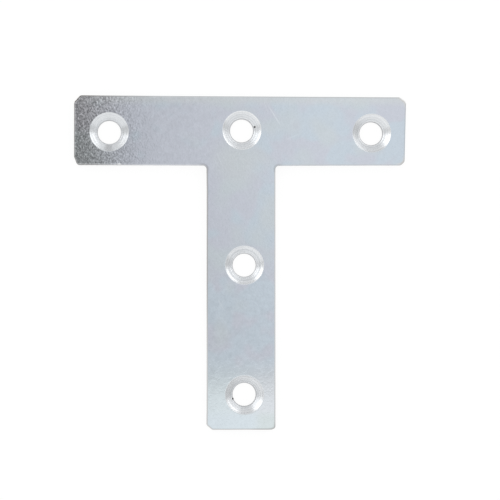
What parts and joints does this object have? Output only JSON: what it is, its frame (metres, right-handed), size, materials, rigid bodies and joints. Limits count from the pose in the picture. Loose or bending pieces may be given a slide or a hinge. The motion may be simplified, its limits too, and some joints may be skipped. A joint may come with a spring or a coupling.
{
  "type": "countersunk tee joining plate",
  "caption": "Flat T-shaped joining plate of zinc-plated steel with clipped corners and a countersunk screw hole at each arm's end, at the junction and along the stem.",
  "frame": {"origin": "on the back face, on the axis of the junction hole, 0.25 mm from where the centre lines of bar and stem cross", "axes": "+X along the bar, +Y across the bar away from the stem, +Z out of the countersunk face; the plate lies on its back face at Z = 0"},
  "size_m": [0.0762, 0.0763, 0.0023],
  "materials": {
    "zinc_plated_steel": "bright zinc plating over cold-rolled steel sheet"
  },
  "bodies": {
    "root": {"tee_plate": "zinc_plated_steel"}
  },
  "joints": []
}
